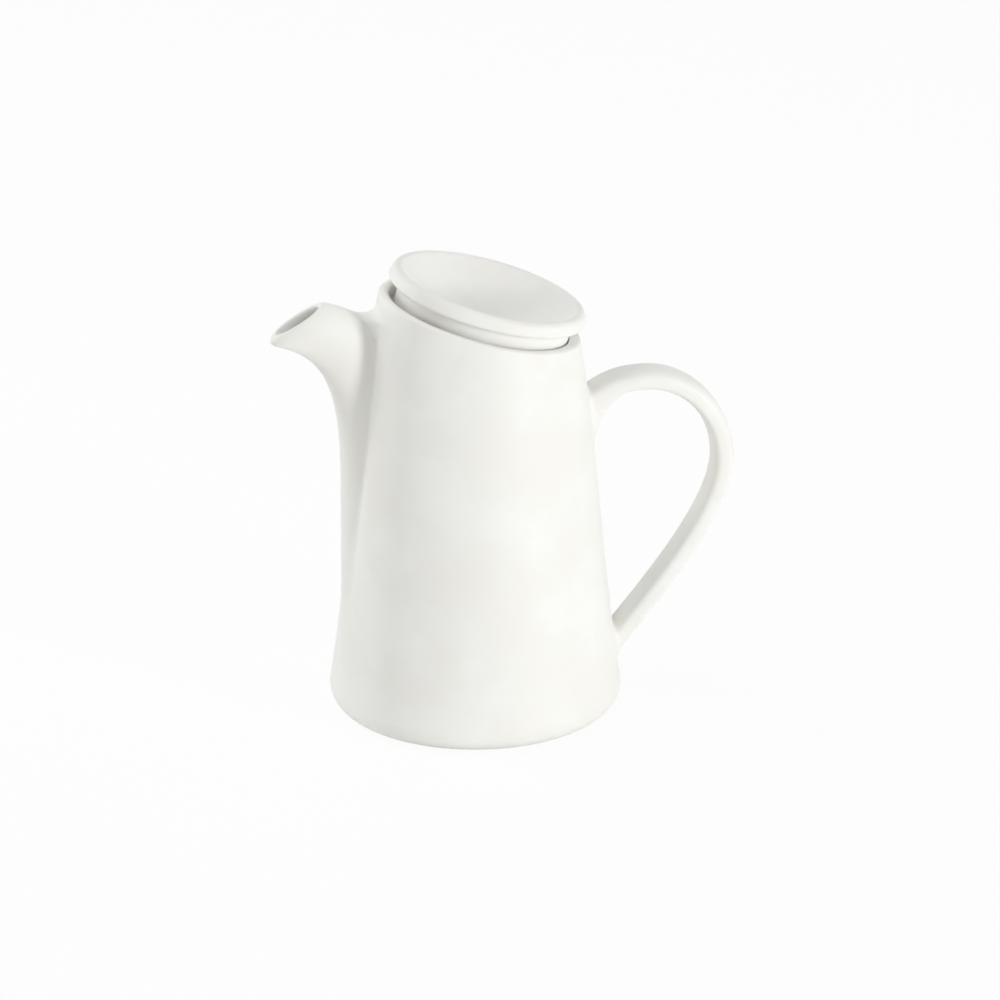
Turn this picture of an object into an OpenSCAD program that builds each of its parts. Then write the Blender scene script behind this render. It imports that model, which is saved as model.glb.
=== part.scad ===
// Lidded coffee jug of glazed ceramic: a tapered round jug with a mouth cut on a slant, a beak spout
// that grows out of the wall, an ear-shaped strap handle and a loose dished lid in a sunk seat.
// The origin is the centre of the foot on the table, +X points to the handle and +Z up.

/* [Jug] */
// Widest diameter, just above the foot
base_d = 114.6; // [104:0.2:126]
// Outside diameter of the wall at the mouth's height
neck_d = 77.9; // [72:0.1:86]
// Height of the mouth's rim on the jug's axis
mouth_h = 163; // [150:0.5:180]
// Rounding between the foot and the wall
heel_r = 8.8; // [6:0.1:11]
// Lean of the wall just above the foot, in degrees
lean_low = 8.8; // [7:0.1:10.5]
// Lean of the wall at the mouth, in degrees
lean_high = 10.2; // [8:0.1:12]
// Thickness of the wall
wall_t = 4; // [3:0.1:5]
// Thickness of the floor
floor_t = 6; // [5:0.1:8]
// Rounding between the floor and the wall inside
floor_r = 8; // [5:0.1:12]
// Width of the ring that the jug stands on
foot_w = 6; // [4:0.1:9]
// Hollow under the floor, inside the foot ring
foot_hollow = 1.6; // [1:0.1:2.4]

/* [Mouth] */
// Slant of the mouth towards the handle, in degrees
mouth_tilt = 15.4; // [11:0.1:18]
// Thickness of the lip where it is thinnest
lip_t = 2.8; // [2.4:0.1:3.6]
// Height of the lip's rounding
lip_round = 1.5; // [1:0.1:2]
// Depth of the lid's seat below the lip
seat_depth = 7; // [5.5:0.1:9]
// Width of the ledge that the lid sits on
seat_w = 4.5; // [3.8:0.1:5.5]
// Thickness of that ledge
ledge_t = 3.2; // [2.5:0.1:4]

/* [Spout] */
// Reach of the spout's end beyond the wall, before its nose is rounded
spout_reach = 44.1; // [38:0.1:50]
// Drop of the tip's underside below the highest point of the lip
spout_drop = 17.5; // [15:0.1:21]
// Length of the spout's end, from the tip's underside to the hump behind the opening
spout_end_l = 30.4; // [27:0.1:33]
// Slant of the spout's end, in degrees
spout_end_tilt = 31.7; // [28:0.1:36]
// Width of the spout where it leaves the wall
spout_root_w = 23; // [20:0.1:27]
// Width of the spout at its end
spout_tip_w = 14.4; // [12.5:0.1:17]
// Height over which the spout bends outwards
spout_bend_h = 59; // [52:0.2:66]
// Distance that the keel below the bend stands out from the wall
keel_out = 5.6; // [4.4:0.1:7]
// Height of the keel's lower end, where it runs into the wall
keel_foot_h = 24; // [18:0.2:34]
// Depth of the spout's back behind its front line, inside the jug
spout_depth = 23.3; // [20:0.1:27]
// Thickness of the spout's two sides
spout_t = 2.8; // [2.4:0.1:3.2]
// Thickness of its two sides at the opening
spout_side_t = 3.7; // [3.3:0.1:4.1]
// Thickness of the spout's front
spout_front_t = 4.2; // [3.6:0.1:4.8]
// Thickness of the spout's back, under the hump
spout_back_t = 3.4; // [2.8:0.1:4]
// Rounding of the spout's end at its sides and its hump
spout_round = 2; // [1.4:0.1:2.4]
// Length of the nose's rounding along the spout's end
spout_nose = 6.9; // [5.5:0.1:7.6]
// Width of the soft corner between the spout and the wall
spout_fillet = 2.6; // [2:0.1:4]

/* [Handle] */
// Height at which the handle's upper end meets the wall
handle_high_h = 124; // [118:0.2:130]
// Height at which its lower end meets the wall
handle_low_h = 22.8; // [21:0.2:30]
// Height of the strap's middle at the top of the arch
arch_h = 131.4; // [128:0.2:136]
// Distance of the arch's top from the wall
arch_out = 23.5; // [19:0.2:28]
// Distance of the strap's outermost point from the wall
handle_out = 51; // [45:0.2:57]
// Height of the strap's outermost point
handle_mid_h = 96.5; // [90:0.2:104]
// Rise of the handle where it leaves the wall at the top, in degrees
handle_high_lean = 38; // [30:1:44]
// Rise of the handle where it leaves the wall at the bottom, in degrees
handle_low_lean = 51; // [46:1:56]
// Width of the strap
strap_w = 15; // [12:0.1:18]
// Thickness of the strap at the arch
strap_t_high = 8.2; // [7:0.1:9.4]
// Thickness of the strap at its lower end
strap_t_low = 8; // [7:0.1:9.4]
// Width of the soft corner between the strap and the wall
handle_fillet = 2.5; // [1.5:0.1:3.5]
// Depth of the web under the handle's upper end
handle_web = 12; // [9:0.1:15]

/* [Lid] */
// Gap between the lid and the bore that it sits in, when it is centred
lid_gap = 1.6; // [1.2:0.05:2]
// Gap left at the handle's side, to which the loose lid slips down its slant
rest_gap = 0.4; // [0.3:0.05:0.6]
// Gap under the lid's seat
seat_gap = 0.2; // [0.1:0.05:0.4]
// Height of the rim's underside above the lip
lid_rise = 5.4; // [4.4:0.1:7]
// Thickness of the rolled rim
rim_t = 5; // [4:0.1:5.6]
// Height of the rim
rim_h = 5.8; // [5.6:0.1:7]
// Flare of the rim towards its underside
rim_flare = 0.5; // [0:0.1:1]
// Overhang of the rim beyond the collar
rim_over = 4.7; // [3.8:0.1:5.4]
// Depth of the dish below the rim's inner edge
dish_depth = 13; // [11:0.1:14]
// Slope of the dish at its edge, in degrees
dish_lean = 41; // [36:1:46]
// Thickness of the dish
dish_t = 4; // [3.2:0.1:4.8]
// Thickness of the collar's wall
collar_t = 3.6; // [3:0.1:4.2]
// Depth of the collar's spigot below the seat
spigot_h = 8; // [6:0.1:11]

/* [Hidden] */
glaze = "#efede6";
$fn = 96;

// Rounds in which a radius is closed in on, and the steps along each curve and round each ring
near_rounds = 8;
wall_steps = 20;
arc_steps = 8;
lip_steps = 90;
lip_arc_steps = 8;
keel_steps = 5;
bend_steps = 15;
end_steps = 6;
spout_sides = 36;
channel_sides = 24;
strap_sides = 24;
strap_steps = [8, 11, 15];
dish_steps = 14;
rim_steps = [7, 4];

// Longer than any piece, and the overlap of one cut with the next
beyond = 300;
cut_over = 1;
// Control length that makes a cubic curve follow a quarter circle
round_k = 0.5523;
// Squareness of the strap's section, where 2 is an ellipse
strap_square = 3;
// Inset of the lip's rounding from the wall's two faces
lip_step = 0.15;
// Depth to which a rounding, the keel's lower end or a handle's root is sunk in the piece that carries it
lip_sink = 1;
keel_sink = 1.9;
root_sink = 8;
// Control lengths of the spout's front line: up from the bend, and back from the tip at its rise in degrees
front_up = 44;
front_run = 23;
front_rise = 10;
// Control lengths of its back line: above the tip's height, and in and down from the hump
back_up = 9.8;
hump_in = 29;
hump_down = 15;
// Part of the bend over which the spout's end is rounded
end_part = 0.1;
// Start of the channel along the bend, the fall of its floor into the jug and its run past the spout's end
channel_start = 0.1;
channel_fall = 6;
channel_past = 9;
// Distances of the opening from the nose's rounding and the hump, and how late the channel turns to it
nose_land = 0.3;
hump_land = 5.4;
channel_turn = 5;
// Distance from the wall over which a soft corner or the handle's web dies out
fillet_reach = 6;
web_reach = 17;
// Control lengths of the handle below its outermost point and above its lower end
handle_drop = 22;
handle_rise = 28;

// Curves in the plane of the jug's axis

function mix(a, b, t) = a + (b - a) * t;
function bezier(p, t) =
    pow(1 - t, 3) * p[0] + 3 * t * pow(1 - t, 2) * p[1] + 3 * t * t * (1 - t) * p[2] + pow(t, 3) * p[3];
function arc(centre, r, from, to, steps = arc_steps) =
    [for (i = [0:steps]) let (a = mix(from, to, i / steps)) centre + r * [cos(a), sin(a)]];

// The wall's outside radius: a cubic in height from the heel to the mouth

wall_foot = [base_d / 2 - heel_r * (1 - cos(lean_low)), heel_r * (1 + sin(lean_low))];
function wall_r(z) =
    let (h = mouth_h - wall_foot[1], u = (z - wall_foot[1]) / h)
    (2 * u * u * u - 3 * u * u + 1) * wall_foot[0]
    - (u * u * u - 2 * u * u + u) * h * tan(lean_low)
    + (3 * u * u - 2 * u * u * u) * neck_d / 2
    - (u * u * u - u * u) * h * tan(lean_high);
function off_wall(p) = norm([p[0], p[1]]) - wall_r(p[2]);

// The mouth: the plane through the axis at mouth_h, slanted down towards the handle

function lip_x(side, n = near_rounds) =
    n == 0 ? side * neck_d / 2 : side * wall_r(mouth_h - lip_x(side, n - 1) * tan(mouth_tilt));
mouth_x = (lip_x(1) + lip_x(-1)) / 2;
mouth_c = [mouth_x, 0, mouth_h - mouth_x * tan(mouth_tilt)];
mouth_axis = [sin(mouth_tilt), 0, cos(mouth_tilt)];
lip_high = mouth_h - lip_x(-1) * tan(mouth_tilt);
bore_r = sqrt(pow(wall_r(mouth_c[2]), 2) - pow(mouth_x, 2)) - lip_t;
throat_r = bore_r - seat_w;
ledge_z = -seat_depth - ledge_t;

module at_mouth() {
    translate(mouth_c) rotate([0, mouth_tilt, 0]) children();
}

// A point of the mouth's frame at an angle, a radius and a height, in the jug's frame
function from_mouth(a, r, z) =
    mouth_c + z * mouth_axis + r * [cos(a) * cos(mouth_tilt), sin(a), -cos(a) * sin(mouth_tilt)];
// The radius at which the wall's outside is met in the plane of the lip's rounding
function lip_out(a, n = near_rounds) =
    n == 0 ? neck_d / 2 : let (r = lip_out(a, n - 1)) r - off_wall(from_mouth(a, r, -lip_round));

// A solid through a row of rings with equal numbers of points, capped, or closed into a ring

module loft(rings, ring_closed = false) {
    n = len(rings[0]);
    m = len(rings);
    last = ring_closed ? m - 1 : m - 2;
    sides = [
        for (j = [0:last], i = [0:n - 1])
            let (
                this = j * n,
                next = (j + 1) % m * n,
                k = (i + 1) % n
            )
            each [[this + i, this + k, next + k], [this + i, next + k, next + i]]
    ];
    caps = ring_closed ? [] : [[for (i = [n - 1:-1:0]) i], [for (i = [0:n - 1]) (m - 1) * n + i]];
    polyhedron(points = [for (r = rings) each r], faces = concat(sides, caps));
}

// Jug body

module jug_outside() {
    top = lip_high + heel_r;
    side = [
        for (i = [1:wall_steps])
            let (z = mix(wall_foot[1], top, i / wall_steps))
                [wall_r(z), z]
    ];
    heel = arc([base_d / 2 - heel_r, heel_r], heel_r, -90, lean_low);
    foot_in = base_d / 2 - heel_r - foot_w;
    hollow = [[0, foot_hollow], [foot_in - foot_hollow, foot_hollow], [foot_in, 0]];
    rotate_extrude() polygon(concat(hollow, heel, side, [[0, top]]));
}

module jug_cavity() {
    turn_z = floor_t + floor_r * (1 + sin(lean_low));
    turn_r = wall_r(turn_z) - wall_t - floor_r * cos(lean_low);
    corner = arc([turn_r, floor_t + floor_r], floor_r, -90, lean_low);
    side = [
        for (i = [1:wall_steps])
            let (z = mix(turn_z, lip_high, i / wall_steps))
                [wall_r(z) - wall_t, z]
    ];
    rotate_extrude() polygon(concat([[0, floor_t]], corner, side, [[0, lip_high]]));
}

// The space below the ledge, which closes in to the throat at 45 degrees
module below_ledge() {
    run = base_d / 2 - throat_r;
    rotate_extrude() polygon([
        [0, -beyond],
        [beyond, -beyond],
        [beyond, ledge_z - run],
        [throat_r + run, ledge_z - run],
        [throat_r, ledge_z],
        [0, ledge_z]
    ]);
}

module mouth_opening() {
    translate([0, 0, -lip_round]) cylinder(r = beyond, h = beyond);
    translate([0, 0, -seat_depth]) cylinder(r = bore_r, h = seat_depth);
    translate([0, 0, ledge_z - cut_over]) cylinder(r = throat_r, h = ledge_t + 2 * cut_over);
}

// The lip's rounding, between the bore and the wall's outside
module lip_rounding() {
    loft([
        for (j = [0:lip_steps - 1])
            let (
                a = 360 * j / lip_steps,
                inner = bore_r + lip_step,
                outer = lip_out(a) - lip_step,
                half = (outer - inner) / 2
            )
            concat(
                [from_mouth(a, outer, -lip_round - lip_sink)],
                [
                    for (i = [0:lip_arc_steps])
                        let (t = 180 * i / lip_arc_steps)
                            from_mouth(a, inner + half * (1 + cos(t)), lip_round * (sin(t) - 1))
                ],
                [from_mouth(a, inner, -lip_round - lip_sink)]
            )
    ], ring_closed = true);
}

module jug_body() {
    color(glaze) difference() {
        union() {
            difference() {
                jug_outside();
                intersection() {
                    jug_cavity();
                    at_mouth() below_ledge();
                }
                at_mouth() mouth_opening();
            }
            lip_rounding();
        }
        spout_channel();
    }
}

// Spout: ovals that stand between a front line and a back line, each a point of distance out and height

tip = [wall_r(lip_high - spout_drop) + spout_reach, lip_high - spout_drop];
hump = tip + spout_end_l * [-cos(spout_end_tilt), sin(spout_end_tilt)];
end_axis = [sin(spout_end_tilt), cos(spout_end_tilt)];
bend_h = tip[1] - spout_bend_h;
bend = [wall_r(bend_h) + keel_out, bend_h];
keel_foot = [wall_r(keel_foot_h) - keel_sink, keel_foot_h];
front_line = [bend, bend + [0, front_up], tip - front_run * [1, tan(front_rise)], tip];
back_x = bend[0] - spout_depth;
back_line = [[back_x, bend_h], [back_x, tip[1] + back_up], hump - [hump_in, hump_down], hump];

// An oval from front to back, with insets at its front, sides and back, spread where it nears the wall
function oval(front, back, width, inset, sides, spread) =
    let (
        way = (front - back) / norm(front - back),
        first = front - inset[0] * way,
        last = back + inset[2] * way,
        middle = (first + last) / 2,
        long = (first - last) / 2,
        short = width / 2 - inset[1]
    )
    [
        for (i = [0:sides - 1])
            let (
                a = 360 * i / sides,
                at = middle + long * cos(a),
                flat = [-at[0], short * sin(a), at[1]],
                push = spread * soft(flat, fillet_reach) * (1 - pow(max(0, cos(a)), 2)),
                out = push * way * cos(a)
            )
            flat + [-out[0], push * sin(a), out[1]]
    ];
// How much of a soft corner is left at a point: all of it at the wall, none beyond its reach
function soft(p, reach) = pow(max(0, min(1, 1 - off_wall(p) / reach)), 2);

function spout_width(t) = mix(spout_root_w, spout_tip_w, t);
function spout_oval(t, inset, sides, spread) =
    oval(bezier(front_line, t), bezier(back_line, t), spout_width(t), inset, sides, spread);

module spout_outside() {
    keel = [
        for (i = [0:keel_steps - 1])
            let (front = mix(keel_foot, bend, i / keel_steps))
                oval(front, front - [spout_depth, 0], spout_root_w, [0, 0, 0], spout_sides, spout_fillet)
    ];
    curve = [
        for (i = [0:bend_steps])
            spout_oval((1 - end_part) * i / bend_steps, [0, 0, 0], spout_sides, spout_fillet)
    ];
    end = [
        for (i = [1:end_steps])
            let (a = 90 * i / end_steps, inset = (1 - cos(a)) * [spout_nose, spout_round, spout_round])
                spout_oval(1 - end_part * (1 - sin(a)), inset, spout_sides, 0)
    ];
    loft(concat(keel, curve, end));
}

// The channel's inset in the spout, which turns from its walls' thickness to the shape of the opening
function channel_inset(t) = mix(
    [spout_front_t, spout_t, spout_back_t],
    [spout_nose + nose_land, spout_side_t, hump_land],
    pow(t, channel_turn)
);

module spout_channel() {
    start_front = bezier(front_line, channel_start);
    start_back = [back_x, start_front[1] - channel_fall];
    start_inset = channel_inset(channel_start);
    past = channel_past * end_axis;
    loft(concat(
        [oval(start_front, start_back, spout_width(channel_start), start_inset, channel_sides, 0)],
        [
            for (i = [2:bend_steps])
                let (t = mix(channel_start, 1, i / bend_steps))
                    spout_oval(t, channel_inset(t), channel_sides, 0)
        ],
        [oval(tip + past, hump + past, spout_tip_w, channel_inset(1), channel_sides, 0)]
    ));
}

module spout() {
    color(glaze) difference() {
        spout_outside();
        jug_outside();
        spout_channel();
    }
}

// Handle: a strap swept along three curves, from the upper end over the arch to the lower end

high_way = [cos(handle_high_lean), sin(handle_high_lean)];
low_way = [cos(handle_low_lean), sin(handle_low_lean)];
high_root = [wall_r(handle_high_h), handle_high_h];
low_root = [wall_r(handle_low_h), handle_low_h];
arch = [wall_r(arch_h) + arch_out, arch_h];
outmost = [wall_r(handle_mid_h) + handle_out, handle_mid_h];
high_run = (arch_h - handle_high_h) / sin(handle_high_lean) / 2;
handle_curves = [
    [
        high_root - root_sink * high_way,
        high_root + high_run * high_way,
        arch - [round_k * arch_out, 0],
        arch
    ],
    [
        arch,
        arch + [round_k * (outmost[0] - arch[0]), 0],
        outmost + [0, round_k * (arch_h - handle_mid_h)],
        outmost
    ],
    [
        outmost,
        outmost - [0, handle_drop],
        low_root + handle_rise * low_way,
        low_root - root_sink * low_way
    ]
];

function along(p, t) =
    let (
        first = pow(1 - t, 2) * (p[1] - p[0]),
        second = 2 * t * (1 - t) * (p[2] - p[1]),
        d = first + second + t * t * (p[3] - p[2])
    )
    d / norm(d);
function squared(c) = sign(c) * pow(abs(c), 2 / strap_square);

// The strap's section at a place on the way round, spread at the wall and with the web under its upper end
function strap_ring(curve, t) =
    let (
        p = bezier(handle_curves[curve], t),
        way = along(handle_curves[curve], t),
        out = [-way[1], way[0]],
        thick = curve < 2 ? strap_t_high : mix(strap_t_high, strap_t_low, t)
    )
    [
        for (i = [0:strap_sides - 1])
            let (
                c = squared(cos(360 * i / strap_sides)),
                s = squared(sin(360 * i / strap_sides)),
                at = p + thick / 2 * c * out,
                flat = [at[0], strap_w / 2 * s, at[1]],
                push = handle_fillet * soft(flat, fillet_reach),
                web = curve == 0 ? handle_web * soft(flat, web_reach) * max(0, -c) : 0
            )
            flat + [push * c * out[0], push * s, push * c * out[1] - web]
    ];

module handle_strap() {
    loft([
        for (k = [0:2], i = [(k == 0 ? 0 : 1):strap_steps[k]])
            strap_ring(k, i / strap_steps[k])
    ]);
}

module handle() {
    color(glaze) difference() {
        handle_strap();
        jug_outside();
    }
}

// Lid: radii and heights in the mouth's frame

collar_r = bore_r - lid_gap;
spigot_r = throat_r - lid_gap;
seat_z = seat_gap - seat_depth;
lid_slip = lid_gap - rest_gap;
rim_r = rim_t / 2;
rim_out = collar_r + rim_over;
rim_c = [rim_out - rim_flare - rim_r, lid_rise + rim_h - rim_r];
rim_low_r = 0.6 * rim_r;
rim_low_c = [rim_out - rim_low_r, lid_rise + rim_low_r];
// The direction in which the rim's outer face looks, square to the line that touches both roundings
rim_way = rim_low_c - rim_c;
rim_face = atan2(rim_way[1], rim_way[0]) + acos((rim_r - rim_low_r) / norm(rim_way));
dish_edge = rim_c + rim_r * [-sin(dish_lean), cos(dish_lean)];
dish_power = dish_edge[0] * tan(dish_lean) / dish_depth;
function dish_z(r) = dish_edge[1] - dish_depth * (1 - pow(r / dish_edge[0], dish_power));
// The cone on which the dish and the collar meet, from its inner to its outer edge
joint_in = [collar_r - collar_t, dish_z(collar_r - collar_t) - dish_t];
joint_out = [collar_r + (rim_over - rim_r) / 2, lid_rise];
function joint_z(r) = mix(joint_in[1], joint_out[1], (r - joint_in[0]) / (joint_out[0] - joint_in[0]));

module at_seat() {
    at_mouth() translate([lid_slip, 0, 0]) children();
}

module lid_dish() {
    top = [for (i = [0:dish_steps - 1]) let (r = dish_edge[0] * i / dish_steps) [r, dish_z(r)]];
    rim = concat(
        arc(rim_c, rim_r, 90 + dish_lean, rim_face, rim_steps[0]),
        arc(rim_low_c, rim_low_r, rim_face, -90, rim_steps[1])
    );
    under = [for (i = [dish_steps:-1:0]) let (r = joint_in[0] * i / dish_steps) [r, dish_z(r) - dish_t]];
    color(glaze) at_seat() rotate_extrude() polygon(concat(top, rim, [joint_out], under));
}

module lid_collar() {
    color(glaze) at_seat() rotate_extrude() polygon([
        [spigot_r, seat_z - spigot_h],
        [spigot_r, seat_z],
        [collar_r, seat_z],
        [collar_r, joint_z(collar_r)],
        joint_in,
        [joint_in[0], seat_z + collar_r - spigot_r],
        [spigot_r - collar_t, seat_z],
        [spigot_r - collar_t, seat_z - spigot_h]
    ]);
}

jug_body();
spout();
handle();
lid_dish();
lid_collar();
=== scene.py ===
"""Lidded coffee jug in satin glazed ceramic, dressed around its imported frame.

The jug's wall, its spout and its handle are skins whose joints are drawn out into the soft corners of luted
clay. The lid is turned from one profile. Every length is in metres, +X points to the handle and +Z up.
"""

import math

import bmesh
import bpy
import numpy as np
from bpy.props import FloatProperty, FloatVectorProperty, IntProperty, PointerProperty
from mathutils import Matrix, Vector
from mathutils.bvhtree import BVHTree


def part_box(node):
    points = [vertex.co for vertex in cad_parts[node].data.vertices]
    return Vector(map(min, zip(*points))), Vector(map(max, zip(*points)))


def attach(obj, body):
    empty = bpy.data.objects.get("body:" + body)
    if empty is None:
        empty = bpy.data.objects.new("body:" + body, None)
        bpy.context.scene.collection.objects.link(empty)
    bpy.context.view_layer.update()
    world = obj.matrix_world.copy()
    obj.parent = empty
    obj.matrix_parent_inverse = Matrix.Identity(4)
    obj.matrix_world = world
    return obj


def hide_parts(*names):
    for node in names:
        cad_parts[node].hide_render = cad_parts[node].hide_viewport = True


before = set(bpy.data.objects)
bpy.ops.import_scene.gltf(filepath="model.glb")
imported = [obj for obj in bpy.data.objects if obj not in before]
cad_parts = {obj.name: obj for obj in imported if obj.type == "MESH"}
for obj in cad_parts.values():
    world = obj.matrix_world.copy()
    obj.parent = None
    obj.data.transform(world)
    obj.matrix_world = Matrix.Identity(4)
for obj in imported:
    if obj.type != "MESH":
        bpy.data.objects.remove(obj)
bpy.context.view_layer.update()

bl_info = {
    "name": "Lidded coffee jug",
    "version": (1, 0, 0),
    "blender": (4, 5, 0),
    "location": "View3D > Sidebar > Coffee jug",
    "description": "Builds a glazed coffee jug with a beak spout, a strap handle and a loose dished lid",
    "category": "Add Mesh",
}

MM = 0.001
TURN = 2 * math.pi
JUG_LOW, JUG_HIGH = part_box("jug_body")
BASE_D_MM = (JUG_HIGH.y - JUG_LOW.y) / MM

# Rounds in which a radius is closed in on, and in which a point is drawn onto a soft corner
CLOSING_ROUNDS = 10
SOFTENING_ROUNDS = 10
# Depth to which the edge of a soft corner dips under the wall, and to which its piece is rooted in it
EDGE_DIP = 0.015 * MM
ROOT_SUNK = 1 * MM
# Most that a soft corner reaches over the wall, steps in which its end is sought, and factor past that end
FLANGE_MOST = 24 * MM
FLANGE_STEPS = 60
FLANGE_PAST = 1.03
# Distance that a soft corner keeps from the lip's rounding
LIP_CLEAR = 0.6 * MM
# Distances within which points of a skin and of a turned profile are merged
MERGE = 0.0005 * MM
TURNED_MERGE = 0.001 * MM
# Distance under which a point counts as touching a skin
TOUCHING = 0.05 * MM
# Share of the radius at which the rings of the floor and of the underside end
POLE_PART = 0.1
# Control length that makes a cubic curve follow a quarter circle, and bend from which an edge counts as sharp
ROUND_K = 0.5523
SHARP = math.radians(40)


# Settings


def to_linear(hex_colour):
    """An sRGB hex colour as linear red, green and blue."""
    parts = [int(hex_colour[i:i + 2], 16) / 255 for i in (1, 3, 5)]
    return tuple(c / 12.92 if c <= 0.04045 else ((c + 0.055) / 1.055) ** 2.4 for c in parts)


def size(name, mm, description):
    return FloatProperty(name=name, description=description, default=mm * MM, unit="LENGTH", precision=5)


def slope(name, degrees, description):
    return FloatProperty(name=name, description=description, default=math.radians(degrees), subtype="ANGLE")


def colour(name, hex_colour, description):
    return FloatVectorProperty(
        name=name,
        description=description,
        default=to_linear(hex_colour),
        subtype="COLOR",
        size=3,
        min=0,
        max=1,
    )


def factor(name, part, description):
    return FloatProperty(name=name, description=description, default=part, subtype="FACTOR", min=0, max=1)


def lamp_power(name, watts, description):
    return FloatProperty(name=name, description=description, default=watts, unit="POWER")


class JugSizes(bpy.types.PropertyGroup):
    """The jug's wall, foot, mouth and seat"""

    base_d: size("Base", BASE_D_MM, "Widest diameter, just above the foot")
    neck_d: size("Neck", 77.9, "Outside diameter of the wall at the mouth's height")
    mouth_h: size("Mouth height", 163, "Height of the mouth's rim on the jug's axis")
    heel_r: size("Heel", 8.8, "Rounding between the foot and the wall")
    lean_low: slope("Lower lean", 8.8, "Lean of the wall just above the foot")
    lean_high: slope("Upper lean", 10.2, "Lean of the wall at the mouth")
    wall_t: size("Wall", 4, "Thickness of the wall")
    floor_t: size("Floor", 6, "Thickness of the floor")
    floor_r: size("Floor corner", 8, "Rounding between the floor and the wall inside")
    foot_w: size("Foot ring", 6, "Width of the ring that the jug stands on")
    foot_hollow: size("Foot hollow", 1.6, "Hollow under the floor, inside the foot ring")
    tilt: slope("Mouth slant", 15.4, "Slant of the mouth towards the handle")
    lip_t: size("Lip", 2.8, "Thickness of the lip where it is thinnest")
    lip_round: size("Lip rounding", 1.5, "Height of the lip's rounding")
    seat_depth: size("Seat depth", 7, "Depth of the lid's seat below the lip")
    seat_w: size("Ledge width", 4.5, "Width of the ledge that the lid sits on")
    ledge_t: size("Ledge", 3.2, "Thickness of that ledge")
    columns: IntProperty(name="Columns", description="Faces round the jug", default=256, min=64)


class SpoutSizes(bpy.types.PropertyGroup):
    """The spout and its channel"""

    reach: size("Reach", 44.1, "Reach of the end beyond the wall, before its nose is rounded")
    drop: size("Drop", 17.5, "Drop of the tip's underside below the highest point of the lip")
    end_l: size("End length", 30.4, "Length of the spout's end, from the tip's underside to the hump")
    end_tilt: slope("End slant", 31.7, "Slant of the spout's end")
    root_w: size("Root width", 23, "Width where the spout leaves the wall")
    tip_w: size("Tip width", 14.4, "Width at the spout's end")
    bend_l: size("Bend", 59, "Height over which the spout bends outwards")
    keel_out: size("Keel", 5.6, "Distance that the keel below the bend stands out from the wall")
    keel_foot_h: size("Keel foot", 24, "Height of the keel's lower end, sunk in the wall")
    keel_sink: size("Keel sink", 1.9, "Depth of the keel's lower end in the wall")
    depth: size("Depth", 23.3, "Depth of the spout's back behind its front line, inside the jug")
    front_t: size("Front", 4.2, "Thickness of the spout's front")
    side_t: size("Sides", 2.8, "Thickness of the spout's two sides")
    back_t: size("Back", 3.4, "Thickness of the spout's back, under the hump")
    side_end_t: size("Sides at the end", 3.7, "Thickness of the two sides at the opening")
    end_round: size("End rounding", 2, "Rounding of the spout's end at its sides and its hump")
    nose: size("Nose", 6.9, "Length of the nose's rounding along the spout's end")
    flank_soft: size("Flank corner", 1.0, "Soft corner between the spout's flanks and the wall")
    saddle_soft: size("Saddle corner", 11, "Soft corner between the spout's back and the wall")
    columns: IntProperty(name="Columns", description="Faces round the spout", default=256, min=48)


class HandleSizes(bpy.types.PropertyGroup):
    """The strap handle"""

    high_h: size("Upper end", 124, "Height at which the upper end meets the wall")
    low_h: size("Lower end", 22.8, "Height at which the lower end meets the wall")
    arch_h: size("Arch height", 131.4, "Height of the strap's middle at the top of the arch")
    arch_out: size("Arch place", 23.5, "Distance of the arch's top from the wall")
    out: size("Reach", 51, "Distance of the strap's outermost point from the wall")
    mid_h: size("Reach height", 96.5, "Height of the strap's outermost point")
    high_lean: slope("Upper rise", 38, "Rise of the handle where it leaves the wall at the top")
    low_lean: slope("Lower rise", 51, "Rise of the handle where it leaves the wall at the bottom")
    strap_w: size("Strap width", 15, "Width of the strap")
    strap_t_high: size("Strap at the arch", 8.2, "Thickness of the strap at the arch")
    strap_t_low: size("Strap at the bottom", 8, "Thickness of the strap at its lower end")
    web: size("Web", 12, "Depth of the web under the upper end")
    soft: size("Corner", 2.5, "Soft corner between the strap and the wall")
    columns: IntProperty(name="Columns", description="Faces round the strap", default=72, min=24)


class LidSizes(bpy.types.PropertyGroup):
    """The lid and its fit in the mouth"""

    gap: size("Gap", 1.6, "Gap between the lid and the bore that it sits in, when it is centred")
    rest_gap: size("Rest gap", 0.4, "Gap left at the handle's side, to which the loose lid slips")
    seat_gap: size("Seat gap", 0.2, "Gap under the lid's seat")
    rise: size("Rise", 5.4, "Height of the rim's underside above the lip")
    rim_t: size("Rim", 5, "Thickness of the rolled rim")
    rim_h: size("Rim height", 5.8, "Height of the rim")
    rim_flare: size("Rim flare", 0.5, "Flare of the rim towards its underside")
    rim_over: size("Overhang", 4.7, "Overhang of the rim beyond the collar")
    dish_depth: size("Dish depth", 13, "Depth of the dish below the rim's inner edge")
    dish_lean: slope("Dish slope", 41, "Slope of the dish at its edge")
    dish_t: size("Dish", 4, "Thickness of the dish")
    collar_t: size("Collar", 3.6, "Thickness of the collar's wall")
    spigot_h: size("Spigot", 8, "Depth of the collar's spigot below the seat")
    cove: size("Cove", 3, "Hollow rounding between the rim's underside and the collar")
    corner: size("Corners", 0.9, "Rounding of the collar's edges")
    columns: IntProperty(name="Columns", description="Faces round the lid", default=224, min=48)


class GlazeColours(bpy.types.PropertyGroup):
    """Colours of the glaze and of the clay under it"""

    full: colour("Full glaze", "#f2f2ef", "Glaze where it lies thick")
    thin: colour("Thin glaze", "#efeee9", "Glaze where it lies thin and the clay warms it")
    clay: colour("Bare clay", "#d8cdb9", "Wiped foot ring, left without glaze")


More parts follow.
